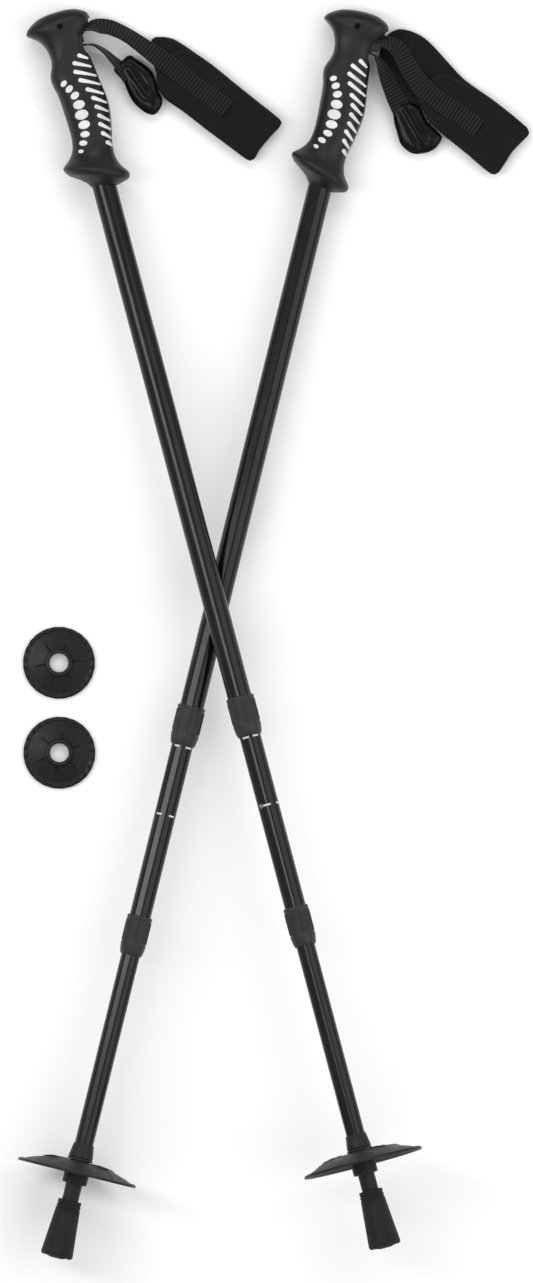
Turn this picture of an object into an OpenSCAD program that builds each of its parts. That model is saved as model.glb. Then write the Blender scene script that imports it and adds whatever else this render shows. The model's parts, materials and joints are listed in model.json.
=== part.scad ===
// Pair of three-section telescoping trekking poles lying crossed, with two small spare baskets.
// Millimetres. X to the right, Y up the layout, Z up off the floor.
// Each pole is modelled along its own Z axis (grip end positive) and then laid down.

/* [Layout] */
// heading of the left pole, degrees anticlockwise
left_angle = 14.85; // [5:0.05:30]
// heading of the right pole, degrees clockwise
right_angle = 13.85; // [5:0.05:30]
// crossing point of the two pole axes
cross_x = -43.19; // [-100:0.01:100]
cross_y = 19.88; // [-100:0.01:100]
// gap between the two tubes where they cross
cross_gap = 0.1; // [0.05:0.05:1]
// centre of the upper spare basket
spare_a_x = -160.79; // [-300:0.1:0]
spare_a_y = -20.92; // [-200:0.1:200]
// centre of the lower spare basket
spare_b_x = -160.49; // [-300:0.1:0]
spare_b_y = -88.12; // [-200:0.1:200]

/* [Tubes] */
// outside diameter of the upper tube
upper_d = 18; // [16:0.5:20]
// outside diameter of the middle tube
middle_d = 16; // [14:0.5:18]
// outside diameter of the lower tube
lower_d = 14; // [12:0.5:16]
// wall of the tubes
wall = 0.8; // [0.6:0.1:1.2]
// length of the middle tube
middle_len = 495; // [400:5:520]
// length of the lower tube
lower_len = 456; // [400:5:500]

/* [Telescoping settings] */
// left pole: distance from the crossing to its upper collar
left_upper_out = 68.5; // [40:0.5:120]
// left pole: distance from the crossing to its lower collar
left_middle_out = 230.5; // [200:0.5:300]
// left pole: distance from the crossing to its ferrule
left_lower_out = 405.5; // [350:0.5:480]
// right pole: distance from the crossing to its upper collar
right_upper_out = 75.5; // [40:0.5:120]
// right pole: distance from the crossing to its lower collar
right_middle_out = 236.5; // [200:0.5:300]
// right pole: distance from the crossing to its ferrule
right_lower_out = 411.5; // [350:0.5:480]

/* [Grip] */
// half thickness of the flared skirt
skirt_half = 20; // [16:0.5:24]
// half thickness of the grip head
head_half = 16; // [12:0.5:18]
// cross screw position in the head
screw_x = -1.5; // [-5:0.1:5]
screw_z = 449; // [440:0.5:455]
// strap pivot in the head
pivot_x = 7; // [4:0.1:10]
pivot_z = 438; // [430:0.5:445]
// half width of the strap webbing
web_half = 7.8; // [6:0.1:9]

/* [Baskets] */
// radius of the mounted snow baskets
basket_r = 45; // [35:1:60]
// radius of the small spare baskets
spare_r = 27; // [22:0.5:32]
// radius of the centre hole in every basket
basket_bore_r = 6.9; // [5:0.1:8]
// turn of the left pole's basket
left_basket_turn = 60.5; // [0:0.5:90]
// turn of the right pole's basket
right_basket_turn = 50.5; // [0:0.5:90]

/* [Hidden] */
$fn = 64;
e = 0.01;

// index 0 is the left pole, 1 is the right pole
angle = [left_angle, -right_angle];
grip_dz = [0, -3];
upper_out = [-left_upper_out, -right_upper_out];
middle_out = [-left_middle_out, -right_middle_out];
lower_out = [-left_lower_out, -right_lower_out];
basket_turn = [left_basket_turn, right_basket_turn];

// radii
ur = upper_d / 2;
mr = middle_d / 2;
lr = lower_d / 2;
collar_len = 25;
ferrule_in = 11;
rim_top = 21.4;
rim_drop = 22.8;

// the right pole rests on its skirt and its basket rim
skirt_z = 338.6;
right_rise = basket_r - skirt_half;
right_run = skirt_z + grip_dz[1] - lower_out[1] + rim_top;
right_tilt = -atan(right_rise / right_run);
right_h = skirt_half * cos(right_tilt) - (skirt_z + grip_dz[1]) * sin(right_tilt);

// the left pole lies over the right one and comes down onto its grip head
head_z = 452;
left_h = right_h + (upper_d + cross_gap) * 1.0056;
head_reach = norm([head_half, head_z]);
left_tilt = atan(head_half / head_z) - asin(left_h / head_reach);
tilt = [left_tilt, right_tilt];
cross_h = [left_h, right_h];

// grip sections from the hub up: left x, left z, right x, right z, half thickness
grip_low = [
  [-9.8, 328.5, 9.8, 325, 9.8], [-12, 332, 14, 326, 12.5], [-17.5, 336.6, 18.5, 327.2, 16.5],
  [-23.5, 340.8, 20.2, 328.8, 19], [-26.5, 345.8, 20.7, 331.5, skirt_half], [-24.6, 348.6, 19, 334.5, 18.8],
  [-21, 351.5, 16.4, 338, 16.6], [-17.8, 355.5, 14.3, 343, 15]];
grip_mid = [
  [-15.6, 360.5, 13.5, 349, 14.1], [-14.7, 366, 14.2, 357, 13.9], [-14.5, 372, 16.3, 366, 14.2],
  [-14.8, 380, 18.2, 377, 14.8], [-15.2, 388, 19, 387, 15.2], [-15.7, 396, 18.3, 396, 15.2],
  [-16.4, 402, 17.2, 403, 15], [-17.8, 408, 16.4, 409.5, 14.6], [-18.4, 413.5, 15.7, 416, 14.2],
  [-17.2, 418, 14.9, 421.5, 13.8], [-15.4, 422.5, 14, 427, 13.4]];
grip_top = [
  [-14.5, 427.5, 13.2, 432, 13.2], [-15, 433.5, 13.2, 437, 13.4], [-16.8, 439, 14.6, 441, 14],
  [-19.5, 443.5, 17.6, 444, 14.8], [-23.5, 447, 20.3, 447.5, 15.6], [-27, 449.6, 21.4, 450.5, head_half],
  [-27.2, 451.2, 21.5, 453, head_half], [-25, 454.3, 20, 456.4, 15], [-18, 458.7, 14, 459.9, 12],
  [-10, 460.8, 8, 461.2, 8], [-4, 461.4, 3, 461.6, 4]];
grip_all = concat(grip_low, grip_mid, grip_top);

// finger dots on the grip's flanks: x, z, long size, short size, lean
dots = [
  [-9.7, 407.1, 5.5, 4, 32], [-6.7, 402.1, 6.5, 4.8, 32], [-3.9, 396.2, 7, 5.3, 24],
  [-2.7, 388.8, 9, 6.8, 0], [-2.7, 381.1, 10.4, 7.6, 0], [-2.8, 373.4, 9, 6.3, 0],
  [-4, 366.4, 7.2, 4.8, -8], [-7, 360.4, 6.3, 4.2, -14], [-10.2, 354.9, 4.2, 3, -14]];
// palm bars on the grip's flanks: first end x, z, second end x, z
bars = [
  [5.5, 425.5, 12.8, 421], [0.5, 420.5, 13.5, 414.5], [-0.5, 414, 15.5, 407],
  [1.5, 407, 16.8, 400], [5, 399, 17.3, 392.5], [7.5, 392, 17.8, 385.5],
  [8.2, 385, 17.3, 379], [8.5, 378.3, 16.6, 372], [7.7, 372, 15.6, 365.5],
  [8, 365, 14.2, 359.3], [9.8, 357.8, 13.4, 353.6]];
bar_wide = 1.9;
bar_thin = 1.1;

// lays a pole down along its heading
module lay(p) {
  translate([cross_x, cross_y, cross_h[p]])
    rotate([0, 0, angle[p]])
      rotate([tilt[p] - 90, 0, 0])
        children();
}

// puts a strap at the pivot in the head, level with the floor
module lay_strap(p) {
  translate([cross_x, cross_y, cross_h[p]])
    rotate([0, 0, angle[p]])
      translate([pivot_x, (pivot_z + grip_dz[p]) * cos(tilt[p]), (pivot_z + grip_dz[p]) * sin(tilt[p])])
        rotate([-90, 0, 0])
          children();
}

// flat outline in x, z made into a slab between two y values
module slab(y0, y1) {
  translate([0, y1, 0])
    rotate([90, 0, 0])
      linear_extrude(y1 - y0)
        children();
}

// the skirt is round and the head is squarer; this is 2 over the section's curve exponent
function section_power(z) = 1 - 0.3 * min(1, max(0, (z - 345) / 85));

// closed body through the grip sections, grown by the given amount
module loft(rings, n, grow) {
  pts = [for (r = rings) let (
      cx = (r[0] + r[2]) / 2, cz = (r[1] + r[3]) / 2,
      dx = (r[2] - r[0]) / 2, dz = (r[3] - r[1]) / 2,
      k = 1 + grow / norm([dx, dz]),
      p = section_power(cz))
    for (j = [0:n - 1]) let (
        a = 360 * j / n,
        c = sign(cos(a)) * pow(abs(cos(a)), p),
        q = sign(sin(a)) * pow(abs(sin(a)), p))
      [cx + dx * k * c, (r[4] + grow) * q, cz + dz * k * c]];
  last = (len(rings) - 1) * n;
  sides = [for (i = [0:len(rings) - 2]) for (j = [0:n - 1]) let (q = (j + 1) % n)
    each [[i * n + j, (i + 1) * n + j, (i + 1) * n + q], [i * n + j, (i + 1) * n + q, i * n + q]]];
  low = [for (j = [0:n - 1]) j];
  top = [for (j = [0:n - 1]) last + n - 1 - j];
  polyhedron(points = pts, faces = concat([low], sides, [top]), convexity = 6);
}

// one soft dot outline
module dot_outline(d) {
  translate([d[0], d[1]])
    rotate(d[4])
      polygon([for (j = [0:15]) let (a = 22.5 * j) [d[2] / 2 * cos(a), d[3] / 2 * sin(a)]]);
}

// one round-ended bar outline, narrower at its second end
module bar_outline(b) {
  dx = b[2] - b[0];
  dz = b[3] - b[1];
  far = max(norm([dx, dz]) - bar_thin, bar_wide + 0.2);
  translate([b[0], b[1]])
    rotate(atan2(dz, dx))
      polygon(concat(
        [for (j = [0:5]) let (a = -90 + 36 * j) [far + bar_thin * cos(a), bar_thin * sin(a)]],
        [for (j = [0:5]) let (a = 90 + 36 * j) [bar_wide + bar_wide * cos(a), bar_wide * sin(a)]]));
}

// thin skin of the grip that the soft inlays follow
module inlay_skin() {
  difference() {
    loft(concat([grip_low[6], grip_low[7]], grip_mid, [grip_top[0]]), 24, 0.35);
    loft(concat([grip_low[5], grip_low[6], grip_low[7]], grip_mid, [grip_top[0], grip_top[1]]), 24, -0.6);
  }
}

// hollow in the back of the head for the strap and its wedge
module head_slot() {
  slab(-9, 9) {
    translate([pivot_x, pivot_z])
      circle(r = 6.9);
    polygon([[7, 444.9], [12, 448], [18, 450.8], [34, 453], [34, 416], [14.5, 423.4], [10.4, 429.8], [7, 431.1]]);
  }
}

module grip(p) {
  translate([0, 0, grip_dz[p]])
    difference() {
      loft(grip_all, 24, 0);
      translate([0, 0, 300])
        cylinder(h = 128.5, r = ur + 0.05);
      head_slot();
      translate([screw_x, 20, screw_z])
        rotate([90, 0, 0])
          cylinder(h = 40, r = 1.75);
      for (s = [-1, 1])
        translate([screw_x, s * 18.2, screw_z])
          rotate([90, 0, 0])
            cylinder(h = 10, r = 2.3, center = true);
    }
}

module grip_dots(p) {
  translate([0, 0, grip_dz[p]])
    intersection() {
      inlay_skin();
      union() {
        for (d = dots)
          for (s = [-1, 1])
            slab(s > 0 ? 6 : -25, s > 0 ? 25 : -6)
              dot_outline(d);
      }
    }
}

module grip_bars(p) {
  translate([0, 0, grip_dz[p]])
    intersection() {
      inlay_skin();
      union() {
        for (b = bars)
          for (s = [-1, 1])
            slab(s > 0 ? 3 : -25, s > 0 ? 25 : -3)
              bar_outline(b);
      }
    }
}

// cross screw through the head with a recess in each end
module head_screw(p) {
  translate([screw_x, 0, screw_z + grip_dz[p]])
    rotate([90, 0, 0])
      difference() {
        union() {
          cylinder(h = 27, r = 1.7, center = true);
          for (s = [-1, 1])
            translate([0, 0, s * 14])
              cylinder(h = 1.6, r = 2.2, center = true);
        }
        for (s = [-1, 1])
          for (q = [0, 90])
            translate([0, 0, s * 14.8])
              rotate([0, 0, q])
                cube([2.6, 0.6, 1.4], center = true);
      }
}

// strap wedge: rounded nose inside the webbing's turn, flat tail towards the back of the head
wedge_out = [0, 4.6];
module strap_wedge(p) {
  slab(-7.9, 7.9)
    translate([wedge_out[p], 0]) {
      circle(r = 3.9);
      translate([0, -3.9])
        square([6.4, 7.8]);
    }
}

// webbing: turn round the wedge, two legs, and the sewn strip on the hand pad; x, z from the pivot
web_up = [
  [[12, 3], [12, 10.8], [19, 11.3], [26, 8.7], [37, 1], [47, -9], [61.5, -23], [73, -36.6], [86, -53],
    [99, -69], [93, -81], [79, -67.5], [64.5, -51], [53.5, -37], [42, -22], [33, -9], [27, -2.8], [17, 1]],
  [[11.5, 5.8], [14, 8], [21.8, 9.1], [30.6, 5.7], [38.3, -1.8], [45.3, -8.6], [53.6, -14.5], [64.8, -19.6],
    [100.7, -33.1], [95.3, -46.9], [59.2, -33], [46.4, -26.5], [36.7, -18.4], [29.7, -10.2], [23.4, -2.7],
    [18.2, 2], [14, 4]]];
web_down = [
  [[11, -6.1], [14.5, -7.5], [21.5, -13.5], [27.5, -20.5], [30.5, -26], [24, -29], [20, -22], [17, -15], [13, -9.3], [11, -8.4]],
  [[11, -6.1], [15, -8], [22, -17], [31, -28], [39.5, -37], [32.5, -40], [21.5, -27], [14.5, -20], [9, -12], [7.5, -9.3]]];
module strap_webbing(p) {
  slab(-web_half, web_half)
    difference() {
      union() {
        circle(r = 5.7);
        translate([0, 4.1])
          square([13.5, 1.6]);
        translate([0, -5.7])
          square([11.5, 1.6]);
      }
      circle(r = 4.1);
      translate([0, -4.1])
        square([14, 8.2]);
    }
  slab(3.4, 5)
    polygon(web_up[p]);
  slab(3.4, 5)
    polygon(web_down[p]);
}

// hand pad: two padded layers of one band folded at the far end; x, z from the pivot
pad_front = [
  [[50.9, -51.3], [51.2, -44.5], [54, -37], [60, -31], [70, -28], [80, -29.5], [93, -43.3], [110, -66.6],
    [127.3, -89.9], [132.7, -97.6], [124.4, -104.8], [112.1, -113.4], [104.1, -120.5], [92.9, -108],
    [78.7, -90.1], [64.4, -71.6], [54.4, -59.7]],
  [[47, -28], [52, -15.5], [58, -10], [66, -7], [79, -10.6], [97, -15], [118.7, -24.4], [134.9, -32.9],
    [133, -38], [126, -50], [122, -61.4], [116, -70], [93, -59.7], [73, -50.4], [60, -43], [53, -34.3]]];
pad_back = [
  [[55.9, -13], [61.6, -14], [67.3, -16.1], [73, -20.1], [84.4, -33], [101.6, -55.1], [118.7, -78],
    [132.7, -97.6], [124.4, -104.8], [112.1, -113.4], [104.1, -120.5], [92.9, -108], [71.7, -80.9], [58, -60],
    [53, -40], [52, -24]],
  [[16.2, 13.8], [21.6, 17.6], [27.3, 18.1], [34.4, 17.6], [41.6, 15.6], [50, 11.1], [64.4, 1.4], [78.7, -7.6],
    [97.3, -15], [118.7, -24.4], [134.9, -32.9], [133, -38], [126, -50], [122, -61.4], [116, -70], [93, -59.7],
    [73, -50.4], [59.5, -42.6], [52, -34.6], [44.5, -32.2], [37, -32.7], [31, -33.5], [25, -24], [19, -11],
    [15.5, -1], [14.5, 8]]];
module strap_pad(p) {
  slab(5.1, 9.4)
    polygon(pad_front[p]);
  slab(9.2, 13.4)
    polygon(pad_back[p]);
}

// tear-drop pull tab at the end of the lower leg; x, z from the pivot
tab_edge = [
  [[22.2, -28.5], [30, -23.4], [35.9, -21], [40, -24.4], [47, -33], [50, -40], [50.2, -51.6], [51.5, -58],
    [50, -63], [45.9, -67.3], [41.9, -68.6], [37.3, -66.1], [33, -61], [29.4, -54.4], [27.7, -45.9], [26.6, -38.7]],
  [[30.9, -37.6], [37, -33.5], [44, -33], [51.5, -35.4], [58.5, -43.6], [71, -51.2], [72.4, -55], [70.1, -61.4],
    [65.9, -65.7], [60.1, -68.6], [54.4, -70], [48, -68.1], [43, -64.3], [38.7, -57.1], [34.9, -50]]];
module strap_tab(p) {
  slab(5.1, 9.6)
    polygon(tab_edge[p]);
  ridge = [[35, -26, 42, -52, 1.6], [39, -38, 60, -61, 1.6]];
  r = ridge[p];
  slab(4.3, 5.4)
    translate([r[0], r[1]])
      rotate(atan2(r[3] - r[1], r[2] - r[0]))
        translate([2, -r[4] / 2])
          square([norm([r[2] - r[0], r[3] - r[1]]) - 2, r[4]]);
}

// plain tube between two z values
module tube(r, z0, z1) {
  translate([0, 0, z0])
    difference() {
      cylinder(h = z1 - z0, r = r);
      translate([0, 0, -1])
        cylinder(h = z1 - z0 + 2, r = r - wall);
    }
}

// ribbed collar that closes a tube's end onto the next tube; r is the tube, d the next tube
module collar(z, r, d) {
  translate([0, 0, z]) {
    rotate_extrude()
      polygon([[r + 0.05, 0], [r + 1.2, 0], [r + 1.45, -1], [r + 1.45, -22], [r + 0.7, -27.3], [d + 0.85, -30],
        [d + 0.12, -30], [d + 0.12, -25.1], [r + 0.05, -25.1]]);
    for (i = [0:23])
      rotate([0, 0, 15 * i])
        translate([r + 1, -0.5, -20.5])
          cube([0.75, 1, 17.5]);
  }
}

// plug in the top of an inner tube with the stud that carries the lock
module plug(z, r) {
  translate([0, 0, z])
    rotate_extrude()
      polygon([[0, -22], [r - wall - 0.05, -22], [r - wall - 0.05, 0], [r - 0.15, 0], [r - 0.15, 3], [4.2, 3], [3, 5],
        [2.4, 5], [2.4, 33.5], [4.2, 33.5], [4.2, 35.5], [0, 35.5]]);
}

// slotted sleeve that grips the outer tube; r is the outer tube's bore
module expander(z, r) {
  translate([0, 0, z])
    difference() {
      cylinder(h = 33.3, r = r - 0.03);
      translate([0, 0, -1])
        cylinder(h = 13, r = r + 1);
      translate([0, 0, 11.9])
        cylinder(h = 16.1, r1 = r - 1.5, r2 = 4);
      translate([0, 0, 20])
        cylinder(h = 20, r = 2.6);
      for (q = [0, 90])
        rotate([0, 0, q + 45])
          translate([-10, -0.6, 11])
            cube([20, 1.2, 16]);
    }
}

// cone that spreads the sleeve; r is the outer tube's bore
module cone(z, r) {
  slope = (r - 5.5) / 16.1;
  translate([0, 0, z])
    difference() {
      translate([0, 0, 13])
        cylinder(h = 12, r1 = r - 1.62 - 1.1 * slope, r2 = r - 1.62 - 13.1 * slope);
      translate([0, 0, 12])
        cylinder(h = 14, r = 2.5);
    }
}

module ferrule(z) {
  translate([0, 0, z])
    difference() {
      rotate_extrude()
        polygon([[0, 0], [7.5, 0], [7.7, -0.5], [9.3, -10.2], [9, -10.6], [9.4, -11], [9.7, -12.6], [6.8, -12.6],
          [6.8, -30.4], [6.2, -31.4], [6.2, -61], [5.6, -62], [0, -62]]);
      translate([0, 0, -ferrule_in - 0.1])
        cylinder(h = ferrule_in + 1, r = lr + 0.05);
      translate([0, 0, -63])
        cylinder(h = 15, r = 2.55);
    }
}

module carbide_tip(z) {
  translate([0, 0, z])
    rotate_extrude()
      polygon([[0, -48.1], [2.5, -48.1], [2.5, -63.5], [3.1, -64.5], [3.1, -72.5], [2.6, -74.5], [0, -73.2]]);
}

// domed basket with four round holes and two wide recessed panels
module snow_basket(z, turn) {
  translate([0, 0, z])
    rotate([0, 0, -turn]) {
      difference() {
        rotate_extrude()
          polygon([[basket_bore_r, -12.75], [9.6, -12.9], [20, -13.4], [28, -14.5], [36, -17], [41, -19.1], [basket_r, -rim_top],
            [basket_r, -rim_drop], [basket_r - 0.7, -rim_drop], [40.4, -20.7], [35.6, -18.6], [27.7, -16],
            [20, -15], [9.6, -14.6], [9.2, -16], [9.2, -30.4], [basket_bore_r, -30.4]]);
        for (i = [0:3])
          rotate([0, 0, 90 * i])
            translate([25, 0, -40])
              cylinder(h = 40, r = 6.2);
        // shallow D-shaped panels let into the outer face
        intersection() {
          rotate_extrude()
            polygon([[20, -10], [20, -14.2], [28, -15.25], [36, -17.8], [41, -19.9], [44, -21.2], [44, -10]]);
          for (i = [0, 1])
            rotate([0, 0, 180 * i + 45])
              translate([0, 0, -40])
                linear_extrude(40)
                  intersection() {
                    circle(r = basket_r - 2.4);
                    translate([89.8, 0])
                      circle(r = 65.4);
                  }
        }
      }
      rotate([0, 0, -45])
        translate([8.6, -2.2, -30])
          cube([2, 4.4, 15]);
    }
}

// soft walking foot, pushed over the carbide tip
module rubber_tip(z) {
  translate([0, 0, z]) {
    rotate_extrude()
      polygon([[6.3, -43], [8.5, -43], [8.9, -43.5], [9, -45.6], [8.6, -45.9], [8.65, -46.6], [9.1, -46.9],
        [9.15, -48.2], [8.8, -48.5], [8.85, -49.2], [9.25, -49.5], [12.1, -84.5], [11.6, -86.5], [0, -86.5],
        [0, -76.5], [3.4, -76.5], [3.4, -62.8], [6.3, -62.8]]);
    for (i = [0:5])
      rotate([0, 0, 60 * i + 15])
        translate([5, -1.8, -87.7])
          cube([5, 3.6, 2]);
    cylinder_z = -87.7;
    translate([0, 0, cylinder_z])
      cylinder(h = 2, r = 2.6);
  }
}

// small basket lying on the floor
module spare_basket(x, y, turn) {
  translate([x, y, 0])
    rotate([0, 0, turn]) {
      rotate_extrude()
        polygon([[basket_bore_r, 1.5], [10.2, 1.5], [23, 0.4], [24.5, 0], [spare_r - 1, 0], [spare_r - 0.6, 0.6],
          [spare_r - 0.6, 2.2], [spare_r - 1.2, 2.6], [24, 2.4], [12, 3.4], [10.2, 4], [10.2, 6.6], [9.8, 7],
          [basket_bore_r, 7]]);
      for (i = [0:5])
        rotate([0, 0, 60 * i])
          translate([9.8, -0.6, 2])
            cube([13.6, 1.2, 2.4]);
      for (i = [0:23])
        rotate([0, 0, 15 * i])
          translate([spare_r - 1.2, 0, 0.3])
            cylinder(h = 2, r = 1.2, $fn = 32);
    }
}

// heights of the inner tubes along a pole
function upper_end(p) = upper_out[p] - collar_len;
function middle_end(p) = middle_out[p] - collar_len;
function middle_top(p) = middle_end(p) + middle_len;
function lower_end(p) = lower_out[p] - ferrule_in;
function lower_top(p) = lower_end(p) + lower_len;

module left_grip() { color("dimgray") lay(0) grip(0); }
module left_grip_dots() { color("lightgray") lay(0) grip_dots(0); }
module left_grip_bars() { color("lightgray") lay(0) grip_bars(0); }
module left_head_screw() { color("silver") lay(0) head_screw(0); }
module left_strap_wedge() { color("gray") lay_strap(0) strap_wedge(0); }
module left_strap_webbing() { color("black") lay_strap(0) strap_webbing(0); }
module left_strap_pad() { color("dimgray") lay_strap(0) strap_pad(0); }
module left_strap_tab() { color("black") lay_strap(0) strap_tab(0); }
module left_upper_tube() { color("darkslategray") lay(0) tube(ur, upper_end(0), 428 + grip_dz[0]); }
module left_upper_collar() { color("dimgray") lay(0) collar(upper_out[0], ur, mr); }
module left_middle_tube() { color("darkslategray") lay(0) tube(mr, middle_end(0), middle_top(0)); }
module left_middle_plug() { color("gray") lay(0) plug(middle_top(0), mr); }
module left_middle_expander() { color("slategray") lay(0) expander(middle_top(0), ur - wall); }
module left_middle_cone() { color("gray") lay(0) cone(middle_top(0), ur - wall); }
module left_lower_collar() { color("dimgray") lay(0) collar(middle_out[0], mr, lr); }
module left_lower_tube() { color("darkslategray") lay(0) tube(lr, lower_end(0), lower_top(0)); }
module left_lower_plug() { color("gray") lay(0) plug(lower_top(0), lr); }
module left_lower_expander() { color("slategray") lay(0) expander(lower_top(0), mr - wall); }
module left_lower_cone() { color("gray") lay(0) cone(lower_top(0), mr - wall); }
module left_ferrule() { color("dimgray") lay(0) ferrule(lower_out[0]); }
module left_carbide_tip() { color("silver") lay(0) carbide_tip(lower_out[0]); }
module left_snow_basket() { color("dimgray") lay(0) snow_basket(lower_out[0], basket_turn[0]); }
module left_rubber_tip() { color("black") lay(0) rubber_tip(lower_out[0]); }
module right_grip() { color("dimgray") lay(1) grip(1); }
module right_grip_dots() { color("lightgray") lay(1) grip_dots(1); }
module right_grip_bars() { color("lightgray") lay(1) grip_bars(1); }
module right_head_screw() { color("silver") lay(1) head_screw(1); }
module right_strap_wedge() { color("gray") lay_strap(1) strap_wedge(1); }
module right_strap_webbing() { color("black") lay_strap(1) strap_webbing(1); }
module right_strap_pad() { color("dimgray") lay_strap(1) strap_pad(1); }
module right_strap_tab() { color("black") lay_strap(1) strap_tab(1); }
module right_upper_tube() { color("darkslategray") lay(1) tube(ur, upper_end(1), 428 + grip_dz[1]); }
module right_upper_collar() { color("dimgray") lay(1) collar(upper_out[1], ur, mr); }
module right_middle_tube() { color("darkslategray") lay(1) tube(mr, middle_end(1), middle_top(1)); }
module right_middle_plug() { color("gray") lay(1) plug(middle_top(1), mr); }
module right_middle_expander() { color("slategray") lay(1) expander(middle_top(1), ur - wall); }
module right_middle_cone() { color("gray") lay(1) cone(middle_top(1), ur - wall); }
module right_lower_collar() { color("dimgray") lay(1) collar(middle_out[1], mr, lr); }
module right_lower_tube() { color("darkslategray") lay(1) tube(lr, lower_end(1), lower_top(1)); }
module right_lower_plug() { color("gray") lay(1) plug(lower_top(1), lr); }
module right_lower_expander() { color("slategray") lay(1) expander(lower_top(1), mr - wall); }
module right_lower_cone() { color("gray") lay(1) cone(lower_top(1), mr - wall); }
module right_ferrule() { color("dimgray") lay(1) ferrule(lower_out[1]); }
module right_carbide_tip() { color("silver") lay(1) carbide_tip(lower_out[1]); }
module right_snow_basket() { color("dimgray") lay(1) snow_basket(lower_out[1], basket_turn[1]); }
module right_rubber_tip() { color("black") lay(1) rubber_tip(lower_out[1]); }
module spare_basket_a() { color("dimgray") spare_basket(spare_a_x, spare_a_y, 8); }
module spare_basket_b() { color("dimgray") spare_basket(spare_b_x, spare_b_y, 20); }

left_grip();
left_grip_dots();
left_grip_bars();
left_head_screw();
left_strap_wedge();
left_strap_webbing();
left_strap_pad();
left_strap_tab();
left_upper_tube();
left_upper_collar();
left_middle_tube();
left_middle_plug();
left_middle_expander();
left_middle_cone();
left_lower_collar();
left_lower_tube();
left_lower_plug();
left_lower_expander();
left_lower_cone();
left_ferrule();
left_carbide_tip();
left_snow_basket();
left_rubber_tip();
right_grip();
right_grip_dots();
right_grip_bars();
right_head_screw();
right_strap_wedge();
right_strap_webbing();
right_strap_pad();
right_strap_tab();
right_upper_tube();
right_upper_collar();
right_middle_tube();
right_middle_plug();
right_middle_expander();
right_middle_cone();
right_lower_collar();
right_lower_tube();
right_lower_plug();
right_lower_expander();
right_lower_cone();
right_ferrule();
right_carbide_tip();
right_snow_basket();
right_rubber_tip();
spare_basket_a();
spare_basket_b();
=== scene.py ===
import bpy, bmesh, json, math
import numpy as np
from mathutils import Matrix, Vector
from mathutils.bvhtree import BVHTree
from mathutils.geometry import delaunay_2d_cdt


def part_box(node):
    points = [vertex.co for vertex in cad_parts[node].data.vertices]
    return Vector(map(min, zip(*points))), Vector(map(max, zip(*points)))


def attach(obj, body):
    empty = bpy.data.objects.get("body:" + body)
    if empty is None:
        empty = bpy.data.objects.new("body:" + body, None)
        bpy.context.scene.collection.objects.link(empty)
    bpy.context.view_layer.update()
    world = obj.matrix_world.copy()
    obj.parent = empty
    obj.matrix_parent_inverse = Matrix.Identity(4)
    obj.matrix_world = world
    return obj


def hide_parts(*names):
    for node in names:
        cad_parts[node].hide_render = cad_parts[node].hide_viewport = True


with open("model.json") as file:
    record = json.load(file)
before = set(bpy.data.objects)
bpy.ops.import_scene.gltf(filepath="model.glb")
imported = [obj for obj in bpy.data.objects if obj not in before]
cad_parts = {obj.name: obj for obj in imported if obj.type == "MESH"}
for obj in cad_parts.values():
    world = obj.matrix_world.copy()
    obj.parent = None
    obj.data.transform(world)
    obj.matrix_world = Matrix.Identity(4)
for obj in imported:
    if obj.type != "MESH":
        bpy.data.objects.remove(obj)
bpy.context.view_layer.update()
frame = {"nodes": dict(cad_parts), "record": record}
record = frame["record"]
JOINTS = {j["name"]: j for j in record["behaviour"]["joints"]}
MM = 0.001
SIDES = ("left", "right")
# along the pole, in mm: the grip's shift and the lower ends of the three tubes
GRIP_DZ = {"left": 0.0, "right": -3.0}
UPPER_OUT = {"left": -68.5, "right": -75.5}
MIDDLE_OUT = {"left": -230.5, "right": -236.5}
LOWER_OUT = {"left": -405.5, "right": -411.5}
# tube radii in mm, the basket's turn in degrees, the wedge's way out of the slot in mm
R_UPPER, R_MIDDLE, R_LOWER = 9.0, 8.0, 7.0
BASKET_TURN = {"left": 60.5, "right": 50.5}
WEDGE_OUT = {"left": 0.0, "right": 4.6}


# ---------------- placing
def frame_matrix(x, z, origin):
    """Frame in mm with the given X and Z axes."""
    rot = Matrix((x, z.cross(x), z)).transposed().to_4x4()
    return Matrix.Translation(origin) @ rot @ Matrix.Scale(MM, 4)


def pole_matrix(side):
    """Pole frame in mm: Z to the grip, X to the strap side, -Y towards the sky."""
    z = -Vector(JOINTS[side + "_extend_middle"]["axis"]).normalized()
    x = Vector((z.y, -z.x, 0)).normalized()
    origin = Vector(JOINTS[side + "_twist_middle"]["pos_m"]) - z * MIDDLE_OUT[side] * MM
    return frame_matrix(x, z, origin)


def strap_matrix(side):
    """Strap frame in mm: origin at the pivot, level with the floor, -Y up."""
    z = -Vector(JOINTS[side + "_extend_middle"]["axis"])
    x = Vector((z.y, -z.x, 0)).normalized()
    return frame_matrix(x, Vector((-x.y, x.x, 0)), Vector(JOINTS[side + "_strap_swing"]["pos_m"]))


POLE = {s: pole_matrix(s) for s in SIDES}
STRAP = {s: strap_matrix(s) for s in SIDES}


def along(side, z):
    """Pole frame shifted by z mm towards the grip."""
    return POLE[side] @ Matrix.Translation((0, 0, z))


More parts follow.
